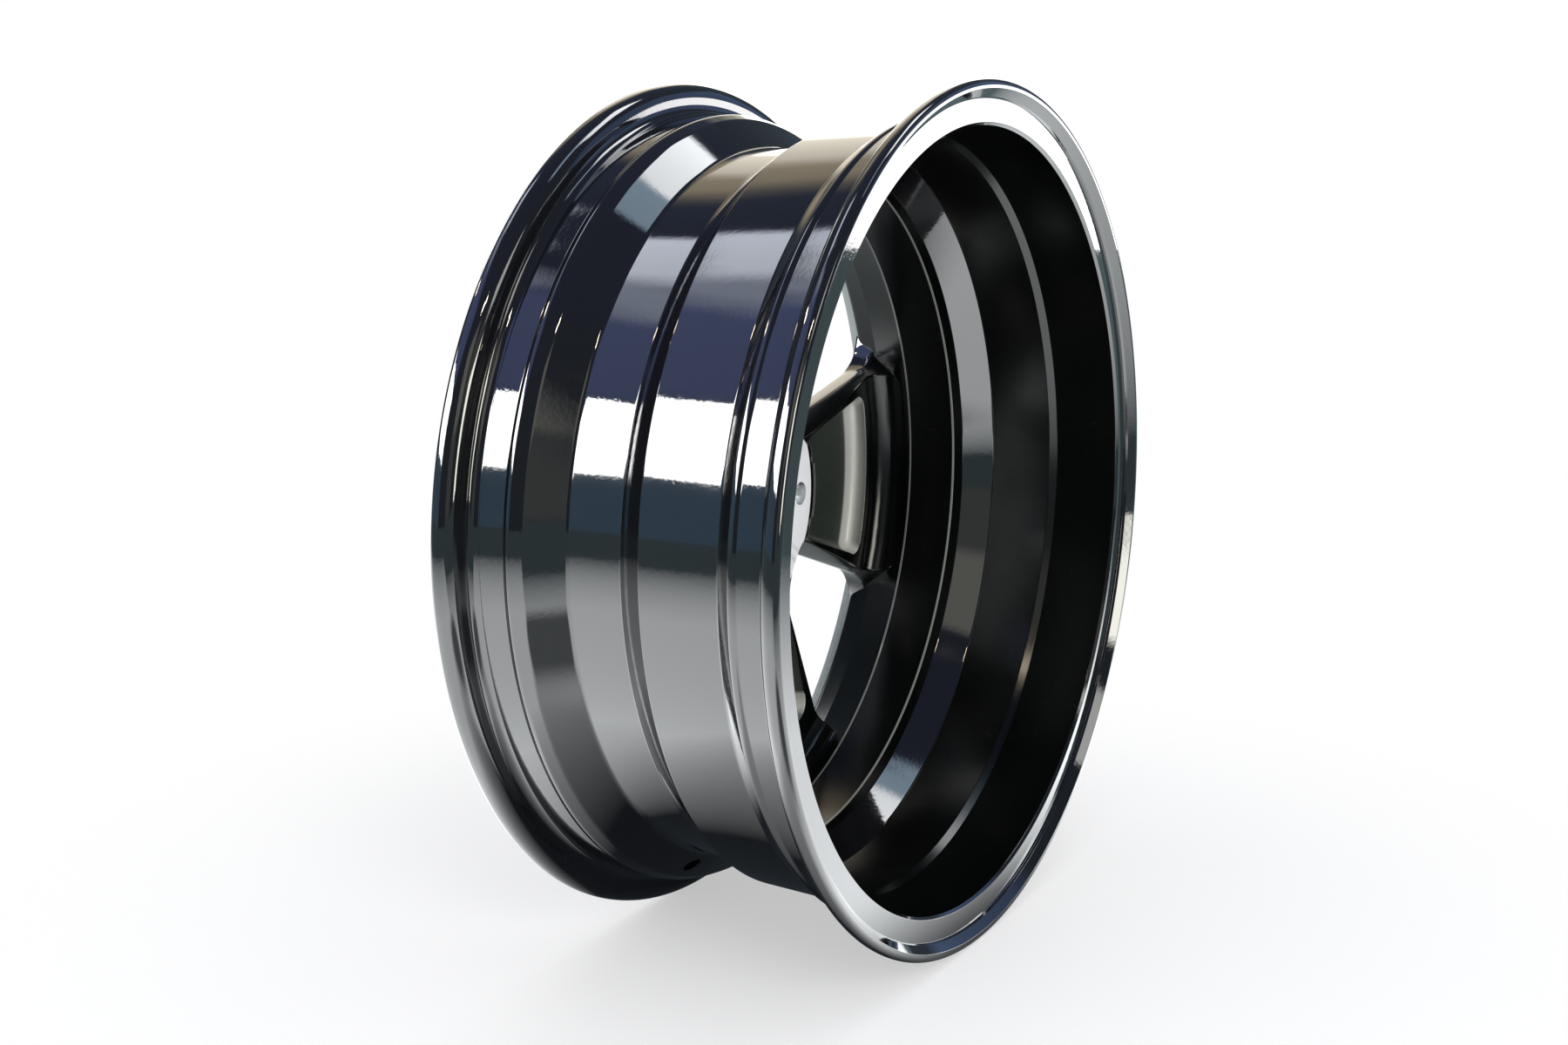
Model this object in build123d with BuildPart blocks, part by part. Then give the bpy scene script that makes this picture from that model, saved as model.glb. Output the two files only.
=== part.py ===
# Cast aluminium road wheel, 18 x 7J, five spokes, one solid.
# Millimetres. The axle line is the Y axis, the outer face of the wheel looks along -Y,
# the open back of the barrel looks along +Y, and the origin is the centre of the wheel.
# A station is a place along the axle line, counted from the middle of the rim.

import os
from math import asin, cos, degrees, radians, sin, tan

from build123d import *

os.makedirs("parts", exist_ok=True)

# Tyre side of the rim: J contour with tapered bead seats and a round hump beside each
rim_width = 177.8
bead_seat_radius = 231.0
bead_seat_angle = 5.0
bead_seat_width = 19.9
flange_height = 17.3
flange_width = 13.3
flange_tyre_round = 9.0
flange_edge_round = 3.6
heel_round = 6.0
hump_height = 1.3
hump_width = 6.4
hump_round = 4.5
hump_toe_round = 2.5
hump_foot_depth = 3.8
hump_foot_run = 10.6
hump_foot_round = 6.0

# Drop centre well, nearer to the outer face, and the ledge behind it
well_depth = 19.9
well_front = 42.0
well_back = 9.2
well_ramp_run = 17.1
well_round = 4.0
ledge_front_depth = 9.8
ledge_front_round = 2.0
ledge_back_depth = 7.5
ledge_back_run = 13.8
ledge_back_round = 4.0

# Back flange: a bright flat ring inside a sloping edge
back_lip_wall = 7.5
back_lip_setback = 5.6
back_lip_chamfer = 1.6
back_ring_width = 13.0
back_edge_width = 5.0
back_step = 1.6
back_step_run = 0.6

# Inside of the barrel, from the back flange to the windows
throat_back_wall = 10.9
throat_back_run = 13.8
throat_front_wall = 13.4
throat_front_run = 18.3
sleeve_wall = 4.7
sleeve_lag = 2.4
sleeve_round = 2.5
neck_wall = 5.5
neck_lag = 1.8
neck_land = 6.5
neck_land_rise = 1.5
neck_round = 2.0
well_wall = 7.5
well_wall_lag = 4.0
window_edge_wall = 17.0
window_edge_inset = 16.9

# Outer lip, turned bright, outside the spokes
lip_root_wall = 8.5
lip_root_inset = 0.9
lip_root_round = 14.0
lip_edge_width = 11.8
lip_edge_round = 2.0

# Hub, measured from the mounting pad
mount_offset = 52.0
pad_margin = 7.0
boss_radius = 86.4
boss_fall = 3.9
boss_foot_width = 2.6
boss_foot_fall = 8.4
boss_edge_round = 1.2
boss_lobe_angle = 25.0
boss_notch_width = 8.4
boss_notch_fall = 9.2
bore_radius = 33.55
bore_chamfer = 1.5
cap_seat_radius = 36.5
cap_seat_depth = 14.0
hub_thickness = 38.0
hub_nose_radius = 43.0
hub_nose_slope = 3.0
bolt_circle_radius = 57.15
bolt_count = 5
bolt_hole_radius = 7.25
bolt_seat_radius = 12.5
bolt_seat_cone = 60.0
bolt_land_radius = 69.0
bolt_land_thickness = 28.0
bolt_land_round = 3.0

# Spokes and the windows between them
spoke_count = 5
spoke_turn = 3.0
spoke_root_radius = 80.0
spoke_root_thickness = 36.0
spoke_root_half_width = 37.0
spoke_root_round = 12.0
spoke_rim_half_width = 78.0
spoke_rim_inset = 9.0
spoke_rim_thickness = 20.5
spoke_back_inset = 22.0
spoke_back_rise = 2.0
spoke_heel_round = 13.0
spoke_front_round = 3.0
spoke_back_round = 1.5
window_hub_round = 9.0
window_rim_overlap = 13.0
window_rim_round = 26.0
window_parting = 25.0
window_back_draft = 22.0
window_front_draft = 8.0

# Pockets cast into the backs of the spokes
pocket_boss_overlap = 1.0
pocket_hub_half_width = 28.0
pocket_rim_inset = 33.0
pocket_rim_half_width = 53.0
pocket_floor_wall = 9.0
pocket_draft = 12.0
pocket_corner_round = 8.0
pocket_floor_round = 6.0

# Valve hole, square to the front wall of the well, midway between two spokes
valve_hole_radius = 5.75
valve_window = 1
valve_hole_tilt = 45.0
valve_tool_length = 30.0

# Places worked out from the sizes above
cut_length = 60.0
half_width = rim_width / 2
half_overall = half_width + flange_width
wheel_radius = bead_seat_radius + flange_height
toe = half_width - bead_seat_width
toe_radius = bead_seat_radius - bead_seat_width * tan(radians(bead_seat_angle))
hump_peak = toe - hump_width / 2
hump_peak_radius = toe_radius + hump_height
hump_foot = toe - hump_foot_run
hump_foot_radius = bead_seat_radius - hump_foot_depth
well_radius = bead_seat_radius - well_depth
ledge_front = well_ramp_run - well_back
ledge_front_radius = bead_seat_radius - ledge_front_depth
ledge_back = toe - ledge_back_run
ledge_back_radius = bead_seat_radius - ledge_back_depth
lip_mouth_radius = wheel_radius - lip_edge_width
back_lip_radius = bead_seat_radius - back_lip_wall
back_ring_radius = back_lip_radius + back_ring_width + back_lip_chamfer
back_ring_face = half_overall - back_lip_setback
sleeve_radius = ledge_front_radius - sleeve_wall
sleeve_front = ledge_front + sleeve_lag
neck_radius = well_radius - neck_wall
neck_back = neck_lag - well_back
well_inner_radius = well_radius - well_wall
well_inner_front = -well_front - well_wall_lag
window_edge_radius = bead_seat_radius - window_edge_wall
window_edge = window_edge_inset - half_width
lip_root_radius = bead_seat_radius - lip_root_wall
lip_root = lip_root_inset - half_width
pad_face = -mount_offset
hub_front = pad_face - hub_thickness
bolt_land = pad_face - bolt_land_thickness
boss_foot_radius = boss_radius + boss_foot_width
boss_foot = pad_face - boss_foot_fall
boss_notch_radius = boss_radius - boss_notch_width
boss_notch_reach = boss_foot_radius * 2
pad_radius = boss_notch_radius - pad_margin
spoke_root_front = pad_face - spoke_root_thickness
spoke_rim_radius = window_edge_radius - spoke_rim_inset
spoke_rim_front = window_edge - spoke_rim_thickness
spoke_back_radius = window_edge_radius - spoke_back_inset
spoke_back = window_edge + spoke_back_rise
back_slope = (spoke_back - boss_foot) / (spoke_back_radius - boss_foot_radius)
front_slope = (spoke_rim_front - spoke_root_front) / (spoke_rim_radius - spoke_root_radius)
window_rim_radius = window_edge_radius + window_rim_overlap
window_plane = pad_face - window_parting
window_hub_radius = boss_notch_radius
pocket_rim_radius = window_edge_radius - pocket_rim_inset
pocket_hub_radius = boss_foot_radius - pocket_boss_overlap
pocket_plane = max(spoke_root_front, spoke_rim_front) + pocket_floor_wall
pitch = 360 / spoke_count
first_spoke = 180 + spoke_turn
first_window = first_spoke + pitch / 2


def polar(radius, angle):
    """Return the point at a radius and an angle in degrees."""
    return (radius * cos(radians(angle)), radius * sin(radians(angle)))


def side_angle(radius, half_width_there):
    """Return how many degrees a side lies off its middle line at a radius."""
    return degrees(asin(half_width_there / radius))


def room_at(sketch, corner):
    """Return the largest round that the straight line along the shorter side of a corner has room for."""
    one, other = (
        (side @ 1 if (side @ 0 - Vector(corner)).length < 1e-6 else side @ 0) - Vector(corner)
        for side in sketch.edges().sort_by_distance(corner)[:2]
    )
    return min(one.length, other.length) * tan(radians(one.get_angle(other)) / 2)


def round_corner(sketch, radius, station, size):
    """Round the corner of a section that lies nearest to a radius and a station, as far as its sides leave room."""
    corner = sketch.vertices().sort_by_distance((radius, station, 0))[0]
    fillet(corner, min(size, 0.98 * room_at(sketch, corner)))


def distance_from_axle(point):
    """Return how far a point lies from the axle line."""
    return (point.X**2 + point.Z**2) ** 0.5


def is_turned(edge):
    """Tell whether an edge is a circle about the axle line."""
    return edge.geom_type == GeomType.CIRCLE and distance_from_axle(edge.arc_center) < 0.01


def face_edges(part, station_at, inner, outer):
    """Return the cut edges of a turned face whose middles lie on its profile between two radii."""
    return part.edges().filter_by(
        lambda edge: inner < distance_from_axle(edge.center()) < outer
        and abs(edge.center().Y - station_at(distance_from_axle(edge.center()))) < 0.4
        and not is_turned(edge)
    )


def spoke_front_at(radius):
    """Return the station of the spokes' outer face at a radius."""
    return spoke_root_front + (min(radius, spoke_rim_radius) - spoke_root_radius) * front_slope


def spoke_back_at(radius):
    """Return the station of the spokes' back face at a radius."""
    return boss_foot + (radius - boss_foot_radius) * back_slope


def tapered_opening(inner_radius, inner_angle, outer_radius, outer_angle, inner_round=0, outer_round=0):
    """Return a window or pocket outline about the X axis: two straight sides and two arcs."""
    with BuildSketch() as opening:
        with BuildLine():
            Line(polar(inner_radius, -inner_angle), polar(outer_radius, -outer_angle))
            ThreePointArc(
                polar(outer_radius, -outer_angle), (outer_radius, 0), polar(outer_radius, outer_angle)
            )
            Line(polar(outer_radius, outer_angle), polar(inner_radius, inner_angle))
            ThreePointArc(
                polar(inner_radius, inner_angle), (inner_radius, 0), polar(inner_radius, -inner_angle)
            )
        make_face()
        if inner_round:
            corners = opening.vertices().sort_by_distance((0, 0, 0))[:2]
            fillet(corners, min(inner_round, 0.49 * room_at(opening, corners[0])))
        if outer_round:
            corners = opening.vertices().sort_by_distance((outer_radius, 0, 0))[:2]
            fillet(corners, min(outer_round, 0.49 * room_at(opening, corners[0])))
    return opening.sketch


# Barrel: one section turned about the axle line
with BuildPart() as barrel:
    with BuildSketch(Plane.XY) as section:
        with BuildLine():
            # Tyre side, from the outer flange to the back flange
            Polyline(
                (lip_mouth_radius, -half_overall),
                (wheel_radius, -half_overall),
                (wheel_radius, -half_width),
                (bead_seat_radius, -half_width),
                (toe_radius, -toe),
                (hump_peak_radius, -hump_peak),
                (hump_foot_radius, -hump_foot),
                (well_radius, -well_front),
                (well_radius, -well_back),
                (ledge_front_radius, ledge_front),
                (ledge_back_radius, ledge_back),
                (hump_peak_radius, hump_peak),
                (toe_radius, toe),
                (bead_seat_radius, half_width),
                (wheel_radius, half_width),
                (wheel_radius, half_overall),
            )
            # Inside, from the back flange to the outer flange
            Polyline(
                (wheel_radius, half_overall),
                (wheel_radius - back_edge_width, half_overall),
                (back_ring_radius + back_step_run, back_ring_face + back_step),
                (back_ring_radius, back_ring_face),
                (back_lip_radius + back_lip_chamfer, back_ring_face),
                (back_lip_radius, back_ring_face - back_lip_chamfer),
                (bead_seat_radius - throat_back_wall, toe - throat_back_run),
                (bead_seat_radius - throat_front_wall, toe - throat_front_run),
                (sleeve_radius, sleeve_front),
                (neck_radius, neck_back),
                (neck_radius - neck_land_rise, neck_back - neck_land),
                (well_inner_radius, well_inner_front),
                (window_edge_radius, window_edge),
                (lip_root_radius, lip_root),
                (lip_mouth_radius, -half_overall),
            )
        make_face()
        for side in (-1, 1):
            round_corner(section, wheel_radius, side * half_width, flange_tyre_round)
            round_corner(section, wheel_radius, side * half_overall, flange_edge_round)
            round_corner(section, bead_seat_radius, side * half_width, heel_round)
            round_corner(section, hump_peak_radius, side * hump_peak, hump_round)
            round_corner(section, toe_radius, side * toe, hump_toe_round)
        round_corner(section, hump_foot_radius, -hump_foot, hump_foot_round)
        round_corner(section, well_radius, -well_front, well_round)
        round_corner(section, well_radius, -well_back, well_round)
        round_corner(section, ledge_front_radius, ledge_front, ledge_front_round)
        round_corner(section, ledge_back_radius, ledge_back, ledge_back_round)
        round_corner(section, sleeve_radius, sleeve_front, sleeve_round)
        round_corner(section, neck_radius, neck_back, neck_round)
        round_corner(section, lip_root_radius, lip_root, lip_root_round)
        round_corner(section, lip_mouth_radius, -half_overall, lip_edge_round)
    revolve(axis=Axis.Y)

# Hub and spokes: a turned disc, opened by windows, notches and pockets
with BuildPart() as web:
    with BuildSketch(Plane.XY) as web_section:
        with BuildLine():
            Polyline(
                (cap_seat_radius, hub_front),
                (cap_seat_radius, hub_front + cap_seat_depth),
                (bore_radius, hub_front + cap_seat_depth),
                (bore_radius, pad_face - bore_chamfer),
                (bore_radius + bore_chamfer, pad_face),
                (pad_radius, pad_face),
                (boss_radius, pad_face - boss_fall),
                (boss_foot_radius, boss_foot),
                (spoke_back_radius, spoke_back),
                (window_edge_radius, window_edge),
                (well_inner_radius, well_inner_front),
                (well_inner_radius + well_wall / 2, well_inner_front),
                (window_edge_radius + window_edge_wall / 2, window_edge),
                (lip_root_radius + lip_root_wall / 2, lip_root),
                (lip_root_radius + lip_root_wall / 3, spoke_rim_front),
                (spoke_rim_radius, spoke_rim_front),
                (spoke_root_radius, spoke_root_front),
                (bolt_land_radius, bolt_land),
                (hub_nose_radius + hub_nose_slope, bolt_land),
                (hub_nose_radius, hub_front),
                close=True,
            )
        make_face()
        round_corner(web_section, boss_radius, pad_face - boss_fall, boss_edge_round)
        round_corner(web_section, window_edge_radius, window_edge, spoke_heel_round)
        round_corner(web_section, spoke_root_radius, spoke_root_front, spoke_root_round)
        round_corner(web_section, bolt_land_radius, bolt_land, bolt_land_round)
    revolve(axis=Axis.Y)

    # Windows, drafted both ways from the parting line
    window_hub_angle = pitch / 2 - side_angle(window_hub_radius, spoke_root_half_width)
    window_rim_angle = pitch / 2 - side_angle(window_rim_radius, spoke_rim_half_width)
    with BuildSketch(Plane.XZ.offset(-window_plane)) as windows:
        with PolarLocations(0, spoke_count, start_angle=first_window):
            add(
                tapered_opening(
                    window_hub_radius,
                    window_hub_angle,
                    window_rim_radius,
                    window_rim_angle,
                    window_hub_round,
                    window_rim_round,
                )
            )
    extrude(amount=-cut_length, taper=-window_back_draft, mode=Mode.SUBTRACT)
    extrude(windows.sketch, amount=cut_length, taper=-window_front_draft, mode=Mode.SUBTRACT)

    # Notches in the edge of the boss, between its lobes
    notch_angle = (pitch - boss_lobe_angle) / 2
    with BuildSketch(Plane.XZ.offset(mount_offset)) as notches:
        with PolarLocations(0, spoke_count, start_angle=first_window):
            add(tapered_opening(boss_notch_radius, notch_angle, boss_notch_reach, notch_angle))
    extrude(amount=boss_notch_fall, mode=Mode.SUBTRACT)

    # Pockets in the backs of the spokes, with drafted walls and round floors
    pocket_hub_angle = side_angle(pocket_hub_radius, pocket_hub_half_width)
    pocket_rim_angle = side_angle(pocket_rim_radius, pocket_rim_half_width)
    with BuildSketch(Plane.XZ.offset(-pocket_plane)) as pockets:
        with PolarLocations(0, spoke_count, start_angle=first_spoke):
            add(
                tapered_opening(
                    pocket_hub_radius,
                    pocket_hub_angle,
                    pocket_rim_radius,
                    pocket_rim_angle,
                    pocket_corner_round,
                    pocket_corner_round,
                )
            )
    extrude(amount=-cut_length, taper=-pocket_draft, mode=Mode.SUBTRACT)
    fillet(web.edges().filter_by_position(Axis.Y, pocket_plane - 0.1, pocket_plane + 0.1), pocket_floor_round)

    # Rounded edges on the outer faces and the backs of the spokes
    fillet(face_edges(web, spoke_front_at, spoke_root_radius, lip_root_radius), spoke_front_round)
    heel_edges = web.edges().filter_by(
        lambda edge: spoke_rim_radius < distance_from_axle(edge.center()) < bead_seat_radius
        and window_edge + 5 < edge.center().Y < well_inner_front - 1
        and not is_turned(edge)
    )
    fillet(face_edges(web, spoke_back_at, boss_foot_radius, spoke_rim_radius) + heel_edges, spoke_back_round)

# The wheel, one casting
with BuildPart() as wheel_rim:
    add(barrel.part)
    add(web.part)

    # Bolt holes with conical seats in the outer face
    with Locations(Plane.XZ.offset(-bolt_land)):
        with PolarLocations(bolt_circle_radius, bolt_count, start_angle=first_spoke):
            CounterSinkHole(bolt_hole_radius, bolt_seat_radius, counter_sink_angle=bolt_seat_cone)

    # Valve hole
    valve_angle = radians(first_window + valve_window * pitch)
    valve_radius = (well_radius + hump_foot_radius) / 2
    valve_station = -(well_front + hump_foot) / 2
    valve_out = cos(radians(valve_hole_tilt))
    valve_axis = (valve_out * cos(valve_angle), sin(radians(valve_hole_tilt)), valve_out * sin(valve_angle))
    valve_point = (valve_radius * cos(valve_angle), valve_station, valve_radius * sin(valve_angle))
    with Locations(Plane(origin=valve_point, z_dir=valve_axis)):
        Cylinder(valve_hole_radius, valve_tool_length, mode=Mode.SUBTRACT)

wheel_rim.part.label = "wheel_rim"
export_step(wheel_rim.part, "parts/wheel_rim.step")
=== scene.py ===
"""Looks of a cast five-spoke car wheel rim: gloss black outside, dry satin black inside, bare turned metal at the hub.

The axle is Y, the wheel's outer face looks along -Y and its open back along +Y. All sizes are metres.
"""

import logging
import math
from dataclasses import dataclass
from enum import Enum

import bmesh
import bpy
import numpy as np
from bpy.types import Material, Mesh, Node, NodeSocket, NodeTree, Object
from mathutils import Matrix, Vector


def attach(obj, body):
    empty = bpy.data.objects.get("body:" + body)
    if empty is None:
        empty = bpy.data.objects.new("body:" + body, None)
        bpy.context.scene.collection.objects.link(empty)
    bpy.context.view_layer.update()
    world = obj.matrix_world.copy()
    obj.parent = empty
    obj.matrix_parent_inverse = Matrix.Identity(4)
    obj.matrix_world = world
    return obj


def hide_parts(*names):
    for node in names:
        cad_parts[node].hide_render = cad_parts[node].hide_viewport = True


log = logging.getLogger("wheel_rim")

MM = 0.001
TURN = 2.0 * math.pi
TINY = 1e-12
NUMBER = "NodeSocketFloat"

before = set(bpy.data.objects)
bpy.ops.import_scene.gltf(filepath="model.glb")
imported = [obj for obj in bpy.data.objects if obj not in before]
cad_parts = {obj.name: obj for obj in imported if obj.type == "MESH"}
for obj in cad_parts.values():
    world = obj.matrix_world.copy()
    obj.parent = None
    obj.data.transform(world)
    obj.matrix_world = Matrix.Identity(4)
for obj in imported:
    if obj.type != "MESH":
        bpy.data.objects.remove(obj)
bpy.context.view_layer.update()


class Finish(Enum):
    """The finishes on the wheel, in the order of the material slots."""

    GLOSS = 0
    SATIN = 1
    TURNED = 2
    POCKET = 3
    FACED = 4


@dataclass
class Corner:
    """One corner of a turned section, in mm: distance from the axle, place along it, and rounding or 0 if sharp."""

    radius: float
    station: float
    rounding: float = 0.0


class Section:
    """A closed turned section: straight runs between corners, with arcs at the rounded corners.

    Every piece of its outline keeps the centre of its arc, so the exact normal is known at any point of it.
    """

    ARC_STEP = math.radians(5.0)

    def __init__(self, corners: list[Corner]) -> None:
        """Works out the outline.

        Args:
            corners: the corners in order round the section.
        """
        at = np.array([(c.radius, c.station) for c in corners])
        before = np.roll(at, 1, axis=0) - at
        after = np.roll(at, -1, axis=0) - at
        before /= np.linalg.norm(before, axis=1, keepdims=True)
        after /= np.linalg.norm(after, axis=1, keepdims=True)
        points: list[np.ndarray] = []
        centres: list[np.ndarray] = []
        for corner, here, back, ahead in zip(corners, at, before, after):
            if corner.rounding <= 0.0:
                points.append(here[None])
                centres.append(np.full((1, 2), np.nan))
                continue
            arc, centre = self._arc(here, back, ahead, corner.rounding)
            points.append(arc)
            held = np.repeat(centre[None], len(arc), axis=0)
            held[-1] = np.nan
            centres.append(held)
        self.points = np.concatenate(points) * MM
        self.centres = np.concatenate(centres) * MM

    def _arc(self, here: np.ndarray, back: np.ndarray, ahead: np.ndarray, rounding: float) -> tuple:
        """Rounds one corner with an arc that both runs touch.

        Args:
            here: the sharp corner.
            back: direction to the corner before.
            ahead: direction to the corner after.
            rounding: radius of the arc.

        Returns:
            The points of the arc and its centre.
        """
        half = 0.5 * math.acos(float(np.clip(back @ ahead, -1.0, 1.0)))
        middle = (back + ahead) / np.linalg.norm(back + ahead)
        centre = here + middle * (rounding / math.sin(half))
        first = here + back * (rounding / math.tan(half)) - centre
        last = here + ahead * (rounding / math.tan(half)) - centre
        sweep = math.pi - 2.0 * half
        count = max(3, int(math.ceil(sweep / self.ARC_STEP)) + 1)
        share = np.linspace(0.0, 1.0, count)[:, None]
        arc = (np.sin((1.0 - share) * sweep) * first + np.sin(share * sweep) * last) / math.sin(sweep)
        return centre + arc, centre

    def nearest(self, radius: np.ndarray, station: np.ndarray) -> tuple[np.ndarray, np.ndarray]:
        """Finds the piece of the outline nearest to each point.

        Args:
            radius: distances from the axle.
            station: places along the axle.

        Returns:
            The index of the nearest piece and the distance to it, for each point.
        """
        start = self.points
        run = np.roll(start, -1, axis=0) - start
        length = np.maximum((run ** 2).sum(axis=1), TINY)
        best = np.full(radius.shape, np.inf)
        index = np.zeros(radius.shape, dtype=int)
        for piece in range(len(start)):
            off_r = radius - start[piece, 0]
            off_y = station - start[piece, 1]
            share = np.clip((off_r * run[piece, 0] + off_y * run[piece, 1]) / length[piece], 0.0, 1.0)
            gap = np.hypot(off_r - share * run[piece, 0], off_y - share * run[piece, 1])
            closer = gap < best
            best = np.where(closer, gap, best)
            index = np.where(closer, piece, index)
        return index, best

    def normals(self, piece: np.ndarray, radius: np.ndarray, station: np.ndarray) -> np.ndarray:
        """The section's outward normal: square to a straight run, and along the arc's radius on an arc.

        Args:
            piece: index of the piece of outline that each point is on.
            radius: distances from the axle.
            station: places along the axle.

        Returns:
            Unit normals as (radial, axial) pairs.
        """
        run = (np.roll(self.points, -1, axis=0) - self.points)[piece]
        flat = np.stack([run[..., 1], -run[..., 0]], axis=-1)
        flat /= np.linalg.norm(flat, axis=-1, keepdims=True)
        if self.area() < 0.0:
            flat = -flat
        spoke = np.stack([radius, station], axis=-1) - self.centres[piece]
        size = np.linalg.norm(spoke, axis=-1, keepdims=True)
        spoke = np.where((spoke * flat).sum(axis=-1, keepdims=True) < 0.0, -spoke, spoke) / np.maximum(size, TINY)
        return np.where(np.isnan(spoke), flat, spoke)

    def area(self) -> float:
        """Signed area of the section, above zero when its corners run so that the outline's right side is outside."""
        ahead = np.roll(self.points, -1, axis=0)
        return 0.5 * float((self.points[:, 0] * ahead[:, 1] - ahead[:, 0] * self.points[:, 1]).sum())


def lathe(name: str, section: Section, steps: int) -> Object:
    """Turns a closed section about the axle.

    The surface is x = r cos a, y = s, z = r sin a, for every point (r, s) of the section and every angle a, on a
    grid that closes on itself both ways.

    Args:
        name: name of the new object.
        section: the section.
        steps: number of angles.

    Returns:
        The object, not yet dressed.
    """
    angle = np.arange(steps)[:, None] * (TURN / steps)
    radius, station = section.points[:, 0][None], section.points[:, 1][None]
    grid = np.stack(np.broadcast_arrays(radius * np.cos(angle), station, radius * np.sin(angle)), axis=-1)
    count = len(section.points)
    turn, place = np.meshgrid(np.arange(steps), np.arange(count), indexing="ij")
    near, far = turn * count, (turn + 1) % steps * count
    ahead = (place + 1) % count
    quads = np.stack([near + place, near + ahead, far + ahead, far + place], axis=-1).reshape(-1, 4)
    if section.area() < 0.0:
        quads = quads[:, ::-1]
    return mesh_object(name, grid.reshape(-1, 3), quads)


def mesh_object(name: str, points: np.ndarray, faces: np.ndarray) -> Object:
    """Puts points and quads into a new mesh object in the scene.

    Args:
        name: name of the object and its mesh.
        points: positions, one row each.
        faces: corner indices, one row each.

    Returns:
        The object.
    """
    mesh = bpy.data.meshes.new(name)
    mesh.vertices.add(len(points))
    mesh.vertices.foreach_set("co", points.astype(np.float32).ravel())
    mesh.loops.add(faces.size)
    mesh.loops.foreach_set("vertex_index", faces.astype(np.int32).ravel())
    mesh.polygons.add(len(faces))
    mesh.polygons.foreach_set("loop_start", np.arange(len(faces), dtype=np.int32) * faces.shape[1])
    mesh.polygons.foreach_set("loop_total", np.full(len(faces), faces.shape[1], dtype=np.int32))
    mesh.update(calc_edges=True)
    mesh.validate()
    mesh.shade_smooth()
    piece = bpy.data.objects.new(name, mesh)
    bpy.context.scene.collection.objects.link(piece)
    return piece


class MeshArrays:
    """The arrays of a mesh that the finishes and normals are worked out from."""

    def __init__(self, mesh: Mesh) -> None:
        """Reads the mesh."""
        self.points = self.read(mesh.vertices, "co", 3)
        self.centres = self.read(mesh.polygons, "center", 3)
        self.facing = self.read(mesh.polygons, "normal", 3)
        self.corner_point = self.read(mesh.loops, "vertex_index", 1, np.int32)
        sizes = self.read(mesh.polygons, "loop_total", 1, np.int32)
        self.corner_face = np.repeat(np.arange(len(sizes)), sizes)

    @staticmethod
    def read(items: bpy.types.bpy_prop_collection, name: str, width: int, kind: type = np.float32) -> np.ndarray:
        """Reads one property of all items into an array."""
        values = np.empty(len(items) * width, dtype=kind)
        items.foreach_get(name, values)
        values = values.astype(float) if kind is np.float32 else values
        return values.reshape(-1, width) if width > 1 else values


def distance_from_axle(points: np.ndarray) -> np.ndarray:
    """Distance of each point from the axle."""
    return np.hypot(points[..., 0], points[..., 2])


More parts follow.
